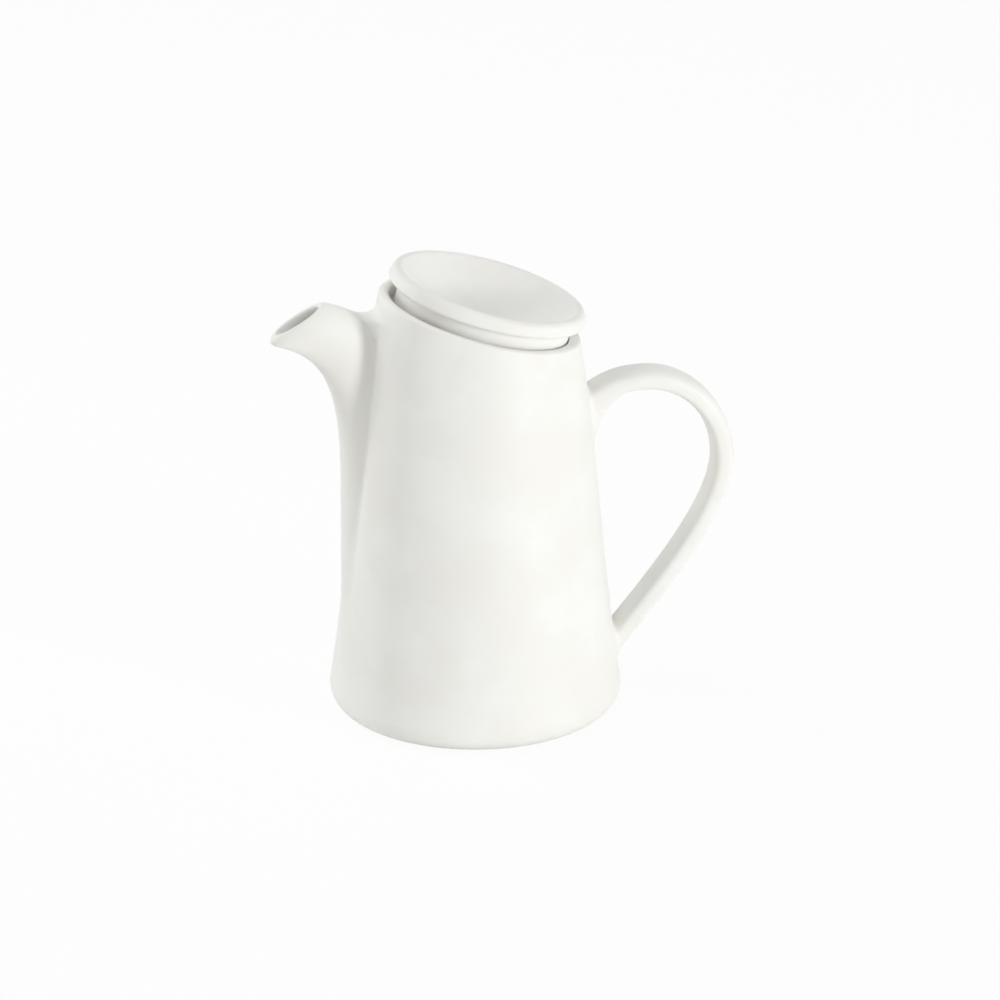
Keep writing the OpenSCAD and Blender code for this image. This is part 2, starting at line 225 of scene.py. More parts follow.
class StageSettings(bpy.types.PropertyGroup):
    """Floor, camera and light"""

    floor: colour("Floor", "#f4f4f2", "Pale studio floor")
    white: factor("White", 0.94, "Share of plain white in the floor where it is seen")
    look_h: size("Aim", 90, "Height of the point that the camera and the lamps look at")
    shift_right: size("Shift to the right", 9.77, "Camera's shift, which sets the jug left of the middle")
    shift_down: size("Shift down", 5.04, "Camera's shift, which sets the jug a little above the middle")
    azimuth: slope("Azimuth", -11, "Turn of the camera round the jug")
    elevation: slope("Elevation", 21.6, "Height of the camera's view")
    lens_mm: FloatProperty(name="Lens", description="Focal length", default=288, unit="CAMERA")
    distance: size("Distance", 3127, "Distance of the camera from the point that it looks at")
    key_w: lamp_power("Key light", 12, "Power of the low light on the right")
    front_w: lamp_power("Front light", 3, "Power of the low light in front, on the left")
    left_w: lamp_power("Left light", 3.7, "Power of the high light on the left")
    side_w: lamp_power("Side light", 2.5, "Power of the low light on the left, a little behind the jug")
    right_w: lamp_power("Right light", 1.6, "Power of the low light at the handle's side")
    back_w: lamp_power("Back light", 2, "Power of the high light behind the jug")
    top_w: lamp_power("Top light", 2.7, "Power of the light above the jug")
    sky: factor("Sky", 0.27, "Strength of the even light from all around")


class CoffeeJug(bpy.types.PropertyGroup):
    """All settings of the jug"""

    jug: PointerProperty(type=JugSizes)
    spout: PointerProperty(type=SpoutSizes)
    handle: PointerProperty(type=HandleSizes)
    lid: PointerProperty(type=LidSizes)
    glaze: PointerProperty(type=GlazeColours)
    stage: PointerProperty(type=StageSettings)


# Curves, skins and nodes


def mix(a, b, t):
    return a + (b - a) * t


def shares(count):
    """Even shares of 1: the first step after 0, and so on up to 1."""
    return np.linspace(0, 1, count + 1)[1:]


def full_turn(count):
    """Angles that are evenly spaced over a full turn."""
    return np.linspace(0, TURN, count, endpoint=False)


def ease(t):
    """A smooth start and stop between 0 and 1."""
    t = np.clip(t, 0, 1)
    return t * t * (3 - 2 * t)


def bezier(points, t):
    """Points on a cubic curve."""
    p = np.asarray(points, float)
    t = np.asarray(t, float)[..., None]
    return (1 - t) ** 3 * p[0] + 3 * t * (1 - t) ** 2 * p[1] + 3 * t * t * (1 - t) * p[2] + t ** 3 * p[3]


def arc(centre, radius, start, stop, steps):
    """Points on an arc, from one angle to another."""
    angles = np.linspace(start, stop, steps + 1)
    return [(centre[0] + radius * math.cos(a), centre[1] + radius * math.sin(a)) for a in angles]


def rounded(corners, steps=6):
    """A path through corners, each a point and a radius, with the radius drawn as an arc."""
    path = []
    places = [np.array(point, float) for point, _ in corners]
    for i, (_, radius) in enumerate(corners):
        here = places[i]
        if radius == 0:
            path.append(here)
            continue
        before, after = places[i - 1] - here, places[i + 1] - here
        before, after = before / np.linalg.norm(before), after / np.linalg.norm(after)
        half = math.acos(np.clip(before @ after, -1, 1)) / 2
        middle = here + (before + after) / np.linalg.norm(before + after) * radius / math.sin(half)
        first, last = (here + way * radius / math.tan(half) - middle for way in (before, after))
        sweep = math.atan2(first[0] * last[1] - first[1] * last[0], first @ last)
        for turn in np.linspace(0, sweep, steps + 1):
            c, s = math.cos(turn), math.sin(turn)
            path.append(middle + (c * first[0] - s * first[1], s * first[0] + c * first[1]))
    return path


def first_crossing(values):
    """The step, with its fraction, at which each column of values first falls below zero."""
    below = np.argmax(values < 0, axis=0)
    columns = np.arange(values.shape[1])
    before, after = values[below - 1, columns], values[below, columns]
    return below - 1 + before / (before - after)


def sample(path, steps):
    """Points of a dense path of rows at steps with fractions, column by column."""
    low = np.clip(steps.astype(int), 0, len(path) - 2)
    part = (steps - low)[..., None]
    columns = np.arange(path.shape[1])
    return mix(path[low, columns], path[low + 1, columns], part)


def close_up(mesh):
    """Merges doubles, turns the faces outwards and shades the skin smooth between its sharp edges."""
    work = bmesh.new()
    work.from_mesh(mesh)
    bmesh.ops.remove_doubles(work, verts=work.verts, dist=MERGE)
    bmesh.ops.dissolve_degenerate(work, edges=work.edges, dist=MERGE)
    bmesh.ops.recalc_face_normals(work, faces=work.faces)
    work.to_mesh(mesh)
    work.free()
    mesh.shade_smooth()
    mesh.set_sharp_from_angle(angle=SHARP)


def skin(name, rows, ring=False):
    """A mesh over rows that go round, closed by a pole at each end or, as a ring, by the first row."""
    rows = np.asarray(rows)
    count, sides, _ = rows.shape
    points = rows.reshape(-1, 3).tolist()
    here = np.arange(sides)
    there = np.roll(here, -1)
    faces = []
    for row in range(count if ring else count - 1):
        low, high = row * sides, (row + 1) % count * sides
        faces += np.stack([low + here, low + there, high + there, high + here], 1).tolist()
    ends = () if ring else (0, count - 1)
    for row in ends:
        faces += [[row * sides + i, row * sides + k, len(points)] for i, k in zip(here, there)]
        points.append(rows[row].mean(0).tolist())
    mesh = bpy.data.meshes.new(name)
    mesh.from_pydata(points, [], faces)
    close_up(mesh)
    return mesh


def cut(mesh, tool):
    """A mesh with another one taken out of it."""
    pieces = [bpy.data.objects.new(m.name, m) for m in (mesh, tool)]
    for piece in pieces:
        bpy.context.scene.collection.objects.link(piece)
    modifier = pieces[0].modifiers.new("cut", "BOOLEAN")
    modifier.operation = "DIFFERENCE"
    modifier.solver = "EXACT"
    modifier.object = pieces[1]
    depsgraph = bpy.context.evaluated_depsgraph_get()
    result = bpy.data.meshes.new_from_object(pieces[0].evaluated_get(depsgraph), depsgraph=depsgraph)
    for piece in pieces:
        bpy.data.objects.remove(piece)
    close_up(result)
    return result


def add(tree, kind, inputs=None, **settings):
    """Adds a node with its settings, and links or sets its inputs."""
    node = tree.nodes.new(kind)
    for name, value in settings.items():
        setattr(node, name, value)
    for name, value in (inputs or {}).items():
        if isinstance(value, bpy.types.NodeSocket):
            tree.links.new(value, node.inputs[name])
        else:
            node.inputs[name].default_value = value
    return node


def place_piece(name, mesh, body, nodes):
    """Puts a finished skin in the scene, on its body and in the place of its nodes."""
    piece = bpy.data.objects.new(name, mesh)
    bpy.context.scene.collection.objects.link(piece)
    mesh.materials.clear()
    mesh.materials.append(satin_glaze())
    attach(piece, body)
    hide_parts(*nodes)


# The jug's form


class JugForm:
    """The wall and the slanted mouth, worked out from the jug's sizes."""

    def __init__(self, jug):
        self.jug = jug
        self.foot_r = jug.base_d / 2 - jug.heel_r * (1 - math.cos(jug.lean_low))
        self.foot_z = jug.heel_r * (1 + math.sin(jug.lean_low))
        fall = math.tan(jug.tilt)
        ends = []
        for side in (1, -1):
            x = side * jug.neck_d / 2
            for _ in range(CLOSING_ROUNDS):
                x = side * float(self.wall_r(jug.mouth_h - x * fall))
            ends.append(x)
        mouth_x = sum(ends) / 2
        self.mouth_c = np.array([mouth_x, 0, jug.mouth_h - mouth_x * fall])
        self.mouth_axis = np.array([math.sin(jug.tilt), 0, math.cos(jug.tilt)])
        self.lip_high = jug.mouth_h - ends[1] * fall
        self.bore_r = math.sqrt(self.wall_r(self.mouth_c[2]) ** 2 - mouth_x ** 2) - jug.lip_t
        self.throat_r = self.bore_r - jug.seat_w

    def wall_r(self, z):
        """Outside radius at a height: the heel's arc, then a cubic up to the mouth."""
        jug = self.jug
        h = jug.mouth_h - self.foot_z
        v = (z - self.foot_z) / h
        side = (
            (2 * v ** 3 - 3 * v ** 2 + 1) * self.foot_r
            - (v ** 3 - 2 * v ** 2 + v) * h * math.tan(jug.lean_low)
            + (3 * v ** 2 - 2 * v ** 3) * jug.neck_d / 2
            - (v ** 3 - v ** 2) * h * math.tan(jug.lean_high)
        )
        below = np.clip(jug.heel_r - z, -jug.heel_r, jug.heel_r)
        heel = jug.base_d / 2 - jug.heel_r + np.sqrt(jug.heel_r ** 2 - below ** 2)
        return np.where(np.asarray(z) < self.foot_z, heel, side)

    def wall_slope(self, z):
        step = 0.01 * MM
        return (self.wall_r(z + step) - self.wall_r(z - step)) / (2 * step)

    def off_wall(self, p):
        """Level distance from the wall's outside."""
        return np.hypot(p[..., 0], p[..., 1]) - self.wall_r(p[..., 2])

    def wall_distance(self, p):
        """Shortest distance from the wall's outside."""
        return self.off_wall(p) / np.sqrt(1 + self.wall_slope(p[..., 2]) ** 2)

    def wall_normal(self, p):
        r = np.hypot(p[..., 0], p[..., 1])
        normal = np.stack([p[..., 0] / r, p[..., 1] / r, -self.wall_slope(p[..., 2])], -1)
        return normal / np.linalg.norm(normal, axis=-1, keepdims=True)

    def onto_wall(self, p):
        for _ in range(CLOSING_ROUNDS):
            p = p - self.wall_distance(p)[..., None] * self.wall_normal(p)
        return p

    def from_mouth(self, angle, r, z):
        """A point of the mouth's frame, in the jug's frame."""
        tilt = self.jug.tilt
        angle, r, z = np.broadcast_arrays(angle, r, z)
        level = np.stack([np.cos(angle) * math.cos(tilt), np.sin(angle), -np.cos(angle) * math.sin(tilt)], -1)
        return self.mouth_c + z[..., None] * self.mouth_axis + r[..., None] * level

    def lip_out(self, angle):
        """Radius at which the wall is met in the plane where the lip's rounding starts."""
        r = np.full_like(angle, self.jug.neck_d / 2)
        for _ in range(CLOSING_ROUNDS):
            r = r - self.off_wall(self.from_mouth(angle, r, -self.jug.lip_round))
        return r

    def lip_z(self, p):
        """Height at which the lip's rounding starts, above or below a point."""
        under = self.mouth_c - self.jug.lip_round * self.mouth_axis
        return under[2] - (p[..., 0] - under[0]) * math.tan(self.jug.tilt)


def jug_rows(form):
    """Rows of the jug's skin: underside, foot ring, heel, wall, lip, seat, throat, inner wall and floor."""
    jug = form.jug
    angle = full_turn(jug.columns)
    lip_r = form.lip_out(angle)
    lip = form.from_mouth(angle, lip_r, -jug.lip_round)

    def turned(around, r, z):
        return np.stack([r * np.cos(around), r * np.sin(around), z + 0 * around], -1)

    outside = np.arctan2(lip[:, 1], lip[:, 0])
    foot_in = jug.base_d / 2 - jug.heel_r - jug.foot_w
    # The hollow's edge is drawn out to two and a half times its depth
    cove_w = 2.5 * jug.foot_hollow
    under = [(r, jug.foot_hollow) for r in np.linspace(POLE_PART, 1, 9) * (foot_in - cove_w)]
    cove = [
        (foot_in - cove_w * (1 - v), jug.foot_hollow * (1 + math.cos(math.pi * v)) / 2)
        for v in shares(10)
    ]
    heel = arc((jug.base_d / 2 - jug.heel_r, jug.heel_r), jug.heel_r, -math.pi / 2, jug.lean_low, 16)
    rows = [turned(outside, r, z) for r, z in under + cove + heel]
    for v in shares(72):
        z = mix(form.foot_z, lip[:, 2], v)
        rows.append(turned(outside, form.wall_r(z), z))
    half = (lip_r - form.bore_r) / 2
    for turn in math.pi * shares(16):
        r = form.bore_r + half * (1 + math.cos(turn))
        rows.append(form.from_mouth(angle, r, jug.lip_round * (math.sin(turn) - 1)))

    ledge_z = -jug.seat_depth - jug.ledge_t
    seat_r, ledge_r = 1 * MM, 0.8 * MM
    # A stretch of the cone under the ledge, where it starts and how far it is followed
    cone, cone_start, cone_stop = 3 * MM, 0.4 * MM, 16 * MM
    seat = rounded([
        ((form.bore_r, -jug.lip_round), 0),
        ((form.bore_r, -jug.seat_depth), seat_r),
        ((form.throat_r, -jug.seat_depth), ledge_r),
        ((form.throat_r, ledge_z), ledge_r),
        ((form.throat_r + cone, ledge_z - cone), 0),
    ])
    rows += [form.from_mouth(angle, r, z) for r, z in seat[1:-1]]

    # The cone is followed out to the inner wall
    out = np.linspace(cone_start, cone_stop, 400)[:, None]
    slant = form.from_mouth(angle, form.throat_r + out, ledge_z - out)
    steps = first_crossing(-form.off_wall(slant) - jug.wall_t)
    rows += [sample(slant, steps * v) for v in np.linspace(0, 1, 7)]
    meet = rows[-1]
    inside = np.arctan2(meet[:, 1], meet[:, 0])
    turn_z = jug.floor_t + jug.floor_r * (1 + math.sin(jug.lean_low))
    for v in shares(48):
        z = mix(meet[:, 2], turn_z, v)
        rows.append(turned(inside, form.wall_r(z) - jug.wall_t, z))
    turn_r = float(form.wall_r(turn_z)) - jug.wall_t - jug.floor_r * math.cos(jug.lean_low)
    corner = arc((turn_r, jug.floor_t + jug.floor_r), jug.floor_r, jug.lean_low, -math.pi / 2, 12)
    floor = [(r, jug.floor_t) for r in np.linspace(1, POLE_PART, 9)[1:] * turn_r]
    rows += [turned(inside, r, z) for r, z in corner[1:] + floor]
    return rows


# Soft corners of luted clay


class LutedPiece:
    """The bare form of a piece that is luted to the wall, as a dense skin that gives distances to it."""

    def __init__(self, rows):
        mesh = skin("bare", rows)
        work = bmesh.new()
        work.from_mesh(mesh)
        self.tree = BVHTree.FromBMesh(work)
        work.free()
        bpy.data.meshes.remove(mesh)

    def distance(self, points):
        """Signed distances from points to the skin, and the skin's normals there."""
        far, normals = np.empty(len(points)), np.empty((len(points), 3))
        for i, point in enumerate(points):
            near, normal, _, gap = self.tree.find_nearest(Vector(point))
            away = point - np.array(near)
            side = 1 if away @ np.array(normal) >= 0 else -1
            far[i] = side * gap
            normals[i] = side * away / gap if gap > TOUCHING else normal
        return far, normals


def flange(form, cross, luted, soft, steps):
    """Rows on the wall from a luted piece out to the end of its soft corner, and how far that is."""
    wall = form.wall_normal(cross)
    _, normal = luted.distance(cross)
    away = normal - np.sum(normal * wall, -1, keepdims=True) * wall
    away = away / np.linalg.norm(away, axis=-1, keepdims=True)
    lengths = np.linspace(0, FLANGE_MOST, FLANGE_STEPS + 1)
    hold = []
    for length in lengths:
        p = form.onto_wall(cross + away * length)
        to_lip = form.lip_z(p) - p[:, 2] - LIP_CLEAR
        hold.append(np.minimum(soft(p) - luted.distance(p)[0], to_lip))
    hold[-1][:] = -1
    reach = FLANGE_PAST * np.interp(first_crossing(np.stack(hold)), np.arange(len(lengths)), lengths)
    rows = [form.onto_wall(cross + away * (reach * v)[:, None]) for v in shares(steps)]
    return rows, reach


def soften(form, rows, luted, soft):
    """Draws rows onto the smooth union of the wall and a luted piece, which rounds the corner between."""
    rows = np.asarray(rows)
    p = rows.reshape(-1, 3).copy()
    live = np.arange(len(p))
    for _ in range(SOFTENING_ROUNDS):
        here = p[live]
        to_wall, wall = form.wall_distance(here), form.wall_normal(here)
        to_piece, piece = luted.distance(here)
        width = soft(here)
        blend = np.clip(1 - np.abs(to_wall - to_piece) / width, 0, 1)
        level = np.minimum(to_wall, to_piece) - width * blend ** 2 / 4
        share = np.where(to_piece < to_wall, 1 - blend / 2, blend / 2)[:, None]
        way = share * piece + (1 - share) * wall
        moved = here - (level / np.sum(way * way, -1))[:, None] * way
        p[live] = np.where((blend > 0)[:, None], moved, here)
        live = live[blend > 0]
    return list(p.reshape(rows.shape))


def root_rows(form, edge):
    """The rows that close a flange: its edge dipped under the wall, and a row rooted in the wall."""
    normal = form.wall_normal(edge)
    return edge - EDGE_DIP * normal, edge - ROOT_SUNK * normal


def spaced(path, lengths):
    """Steps along each column of a dense path at which the given lengths are reached."""
    walked = np.linalg.norm(np.diff(path, axis=0), axis=-1).cumsum(0)
    walked = np.concatenate([np.zeros((1, path.shape[1])), walked])
    steps = np.arange(len(path))
    found = [np.interp(lengths(i, walked[-1, i]), walked[:, i], steps) for i in range(path.shape[1])]
    return np.stack(found, 1)


# The spout's form


class SpoutForm:
    """Ovals that stand between a front line and a back line, each a point of distance out and height."""

    # Control lengths of the front line, up from the bend and back from the tip, and its rise at the tip
    front_up, front_run, front_rise = 44 * MM, 23 * MM, math.radians(10)
    # Control lengths of the back line, above the tip's height, and in and down from the hump
    back_up, hump_in, hump_down = 9.8 * MM, 29 * MM, 15 * MM
    # Part of the bend over which the end is rounded
    end_part = 0.1
    # Parts of the bend at which the channel ends in its floor and starts to turn to it, and the floor's fall
    channel_start, channel_next, channel_fall = 0.1, 0.22, 6 * MM
    # Distances of the opening from the nose's rounding and the hump, and how late the channel turns to it
    nose_land, hump_land, channel_turn = 0.3 * MM, 5.4 * MM, 5
    # Part of the bend over which the lip is rounded into the channel
    lip_part = 0.05
    # Heights above the keel's foot and widths of the soft corner there
    keel_heights, keel_soft = (18 * MM, 36 * MM), (0.6 * MM, 1.8 * MM)
    # Heights above the tip between which the soft corner widens to the saddle
    tip_heights = (1 * MM, 8 * MM)
    # Height under the jug's lip over which the soft corner fades out, and its least width
    lip_fade, soft_least = 9 * MM, 0.4 * MM

    def __init__(self, spout, form):
        self.spout, self.form = spout, form
        tip_z = form.lip_high - spout.drop
        self.tip = np.array([float(form.wall_r(tip_z)) + spout.reach, tip_z])
        hump = self.tip + spout.end_l * np.array([-math.cos(spout.end_tilt), math.sin(spout.end_tilt)])
        bend_h = tip_z - spout.bend_l
        self.bend = np.array([float(form.wall_r(bend_h)) + spout.keel_out, bend_h])
        keel_x = float(form.wall_r(spout.keel_foot_h)) - spout.keel_sink
        self.keel_foot = np.array([keel_x, spout.keel_foot_h])
        run = self.front_run * np.array([1, math.tan(self.front_rise)])
        self.front_line = [self.bend, self.bend + (0, self.front_up), self.tip - run, self.tip]
        self.back_x = self.bend[0] - spout.depth
        self.back_line = [
            (self.back_x, bend_h),
            (self.back_x, tip_z + self.back_up),
            hump - (self.hump_in, self.hump_down),
            hump,
        ]
        self.stop = 1 - self.end_part

    def oval(self, angle, front, back, width, inset):
        """Points of an oval from front to back, drawn in by insets at its front, sides and back."""
        way = (front - back) / np.linalg.norm(front - back, axis=-1, keepdims=True)
        first, last = front - inset[0] * way, back + inset[2] * way
        out = (first + last) / 2 + (first - last) / 2 * np.cos(angle)[..., None]
        return np.stack([-out[..., 0], (width / 2 - inset[1]) * np.sin(angle), out[..., 1]], -1)

    def surface(self, angle, t, inset=(0, 0, 0)):
        """Points of the spout: t runs from -1 at the keel's foot over 0 at the bend to 1 at the end."""
        angle, t = np.broadcast_arrays(np.asarray(angle, float), np.asarray(t, float))
        low = t[..., None] < 0
        keel = mix(self.keel_foot, self.bend, np.minimum(t, 0)[..., None] + 1)
        front = np.where(low, keel, bezier(self.front_line, np.maximum(t, 0)))
        back = np.where(low, keel - (self.spout.depth, 0), bezier(self.back_line, np.maximum(t, 0)))
        width = mix(self.spout.root_w, self.spout.tip_w, np.maximum(t, 0))
        return self.oval(angle, front, back, width, inset)

    def end_rows(self, angle, steps):
        """The rounding of the spout's end, up to its flat."""
        rows = []
        full = np.array([self.spout.nose, self.spout.end_round, self.spout.end_round])
        for turn in math.pi / 2 * shares(steps):
            t = 1 - self.end_part * (1 - math.sin(turn))
            rows.append(self.surface(angle, t, full * (1 - math.cos(turn))))
        return rows

    def channel_ring(self, angle, t):
        """A ring of the channel, whose inset turns from the walls' thickness to the shape of the opening."""
        spout = self.spout
        wall = np.array([spout.front_t, spout.side_t, spout.back_t])
        opening = np.array([spout.nose + self.nose_land, spout.side_end_t, self.hump_land])
        return self.surface(angle, t, mix(wall, opening, t ** self.channel_turn))

    def lip_rows(self, angle, steps):
        """The rounding from the end's flat into the channel."""
        outer = self.end_rows(angle, 1)[-1]
        corner, inner = (self.channel_ring(angle, t) for t in (1, 1 - self.lip_part))
        return [(1 - v) ** 2 * outer + 2 * v * (1 - v) * corner + v * v * inner for v in shares(steps)]

    def channel_rows(self, angle, steps):
        """The channel from below the lip down to its floor in the jug."""
        spout = self.spout
        rows = [self.channel_ring(angle, t) for t in np.linspace(1 - self.lip_part, self.channel_next, steps)]
        front = bezier(self.front_line, self.channel_start)
        back = np.array([self.back_x, front[1] - self.channel_fall])
        width = mix(spout.root_w, spout.tip_w, self.channel_start)
        floor = self.oval(angle, front, back, width, (spout.front_t, spout.side_t, spout.back_t))
        rows += [mix(rows[-1], floor, v) for v in shares(8)]
        inwards = np.array([front[0] - back[0], 0, back[1] - front[1]])
        return rows, inwards

    def soft(self, p):
        """Width of the soft corner: narrow along keel and flanks, wide at the saddle, fading at the lip."""
        spout = self.spout
        keel = [self.keel_foot[1] + up for up in self.keel_heights]
        tip = [self.tip[1] + up for up in self.tip_heights]
        widths = [*self.keel_soft, spout.flank_soft, spout.flank_soft, spout.saddle_soft]
        width = np.interp(p[..., 2], [*keel, self.bend[1], *tip], widths)
        fade = ease((self.form.lip_z(p) - p[..., 2]) / self.lip_fade)
        return np.maximum(width * fade, self.soft_least)


def spout_rows(form, shape):
    """Rows of the spout's skin: root in the wall, soft corner, flanks, rounded end, lip and channel."""
    columns = shape.spout.columns
    soft_steps, flank_steps = 14, 48
    # How much closer the columns stand at the saddle, and the most of a flank that its soft rows take
    crowding, soft_most = 2, 0.45
    dense = full_turn(160)
    bare = [shape.surface(dense, t) for t in np.linspace(-1, shape.stop, 420)] + shape.end_rows(dense, 12)
    luted = LutedPiece(bare)

    # Where the bare spout meets the wall, with more columns towards the saddle
    around = np.linspace(0, TURN, 721)
    scan_t = np.linspace(shape.stop, -1, 900)
    scan = shape.surface(around[None, :], scan_t[:, None])
    meet_t = np.interp(first_crossing(form.wall_distance(scan)), np.arange(len(scan_t)), scan_t)
    loop = shape.surface(around, meet_t)
    high = ease((loop[1:, 2] - shape.bend[1]) / (shape.tip[1] - shape.bend[1]))
    walk = np.linalg.norm(np.diff(loop, axis=0), axis=-1) * (1 + crowding * high)
    walked = np.concatenate([[0], walk.cumsum()])
    meet_a = np.interp(np.linspace(0, walked[-1], columns + 1)[:-1], walked, around)
    meet_t = np.interp(meet_a, around, meet_t)
    cross = form.onto_wall(shape.surface(meet_a, meet_t))
    end_a = full_turn(columns)

    skirt, reach = flange(form, cross, luted, shape.soft, soft_steps)
    part = np.linspace(0, 1, 401)[:, None]
    path_a = mix(meet_a, end_a, ease(part))
    path_t = mix(meet_t, shape.stop, part)

    def lengths(i, whole):
        near = min(reach[i], soft_most * whole)
        return np.concatenate([near * shares(soft_steps), mix(near, whole, shares(flank_steps))])

    steps = spaced(shape.surface(path_a, path_t), lengths)
    along = sample(np.stack([path_a, path_t], -1), steps)
    flank = list(shape.surface(along[..., 0], along[..., 1]))
    body = soften(form, skirt[::-1] + [cross] + flank, luted, shape.soft)
    edge, root = root_rows(form, form.onto_wall(body[0]))

    lip = shape.lip_rows(end_a, 8)
    channel, inwards = shape.channel_rows(end_a, 160)
    slide = [channel[-1] + inwards * v for v in shares(80)]
    path = np.asarray(channel + slide)
    entry = first_crossing(form.wall_distance(path) + ROOT_SUNK)
    inner = [sample(path, entry * v) for v in shares(40)]
    return [root, edge] + body[1:] + shape.end_rows(end_a, 10) + lip + inner


# The handle's form


class HandleForm:
    """A strap swept along three curves, from the upper end over the arch to the lower end."""

    # Depth of both ends in the wall, and control lengths below the outmost point and above the lower end
    root_sink, drop, rise = 8 * MM, 22 * MM, 28 * MM
    # Distance from the wall at which the web ends
    web_reach = 17 * MM
    # Depths under the upper end between which the soft corner is wider, and the share by which it is
    web_depths, web_soft = (24 * MM, 12 * MM, 2 * MM), 1.2
    # Squareness of the strap's section, where 2 is an ellipse
    square = 3

    def __init__(self, handle, form):
        self.handle, self.form = handle, form

        def beyond_wall(z, out):
            return np.array([float(form.wall_r(z)) + out, z])

        high_way = np.array([math.cos(handle.high_lean), math.sin(handle.high_lean)])
        low_way = np.array([math.cos(handle.low_lean), math.sin(handle.low_lean)])
        high, low = beyond_wall(handle.high_h, 0), beyond_wall(handle.low_h, 0)
        arch, outmost = beyond_wall(handle.arch_h, handle.arch_out), beyond_wall(handle.mid_h, handle.out)
        run = (handle.arch_h - handle.high_h) / math.sin(handle.high_lean) / 2
        self.curves = [
            [
                high - self.root_sink * high_way,
                high + run * high_way,
                arch - (ROUND_K * handle.arch_out, 0),
                arch,
            ],
            [
                arch,
                arch + (ROUND_K * (outmost[0] - arch[0]), 0),
                outmost + (0, ROUND_K * (handle.arch_h - handle.mid_h)),
                outmost,
            ],
            [outmost, outmost - (0, self.drop), low + self.rise * low_way, low - self.root_sink * low_way],
        ]

    def surface(self, angle, t):
        """Points of the strap: t is 0 at the upper end, 1 at the arch, 2 outmost and 3 at the lower end."""
        handle = self.handle
        angle, t = np.broadcast_arrays(np.asarray(angle, float), np.asarray(t, float))
        c, s = (np.sign(x) * np.abs(x) ** (2 / self.square) for x in (np.cos(angle), np.sin(angle)))
        leg = np.clip(t.astype(int), 0, 2)
        part = t - leg
        step = 1e-4
        p = np.zeros(t.shape + (2,))
        way = np.zeros_like(p)
        for k, curve in enumerate(self.curves):
            on = (leg == k)[..., None]
            p = np.where(on, bezier(curve, part), p)
            way = np.where(on, bezier(curve, part + step) - bezier(curve, part - step), way)
        way = way / np.linalg.norm(way, axis=-1, keepdims=True)
        out = np.stack([-way[..., 1], way[..., 0]], -1)
        thick = mix(handle.strap_t_high, handle.strap_t_low, np.clip(t - 2, 0, 1))
        at = p + (thick / 2 * c)[..., None] * out
        points = np.stack([at[..., 0], handle.strap_w / 2 * s, at[..., 1]], -1)
        near = np.clip(1 - self.form.off_wall(points) / self.web_reach, 0, 1) ** 2
        points[..., 2] -= np.where(t < 1, handle.web * near * np.maximum(0, -c), 0)
        return points

    def soft(self, p):
        """Width of the soft corner at a point: the same all round, but wider under the web."""
        handle = self.handle
        heights = [handle.high_h - down for down in self.web_depths]
        under = np.interp(p[..., 2], heights, [0, 1, 0])
        return handle.soft * (1 + self.web_soft * under)


def handle_rows(form, shape):
    """Rows of the handle's skin, from its root at the upper end to its root at the lower end."""
    soft_steps, strap_steps = 12, 130
    dense = full_turn(144)
    luted = LutedPiece([shape.surface(dense, t) for t in np.linspace(0, 3, 700)])

    # Where the bare strap meets the wall, above and below
    angle = full_turn(shape.handle.columns)
    meets = []
    for start, stop in ((1, 0), (2, 3)):
        scan_t = np.linspace(start, stop, 500)
        scan = shape.surface(angle[None, :], scan_t[:, None])
        meets.append(np.interp(first_crossing(form.wall_distance(scan)), np.arange(len(scan_t)), scan_t))
    crosses = [form.onto_wall(shape.surface(angle, t)) for t in meets]
    flanges = [flange(form, cross, luted, shape.soft, soft_steps) for cross in crosses]
    (high, high_reach), (low, low_reach) = flanges
    path_t = mix(meets[0], meets[1], np.linspace(0, 1, 1201)[:, None])

    def lengths(i, whole):
        first, last = high_reach[i], whole - low_reach[i]
        return np.concatenate([
            first * shares(soft_steps),
            mix(first, last, shares(strap_steps)),
            mix(last, whole, shares(soft_steps))[:-1],
        ])

    steps = spaced(shape.surface(angle, path_t), lengths)
    strap = list(shape.surface(angle, sample(path_t[..., None], steps)[..., 0]))
    body = soften(form, high[::-1] + [crosses[0]] + strap + [crosses[1]] + low, luted, shape.soft)
    high_edge, high_root = root_rows(form, form.onto_wall(body[0]))
    low_edge, low_root = root_rows(form, form.onto_wall(body[-1]))
    return [high_root, high_edge] + body[1:-1] + [low_edge, low_root]


# The lid's form


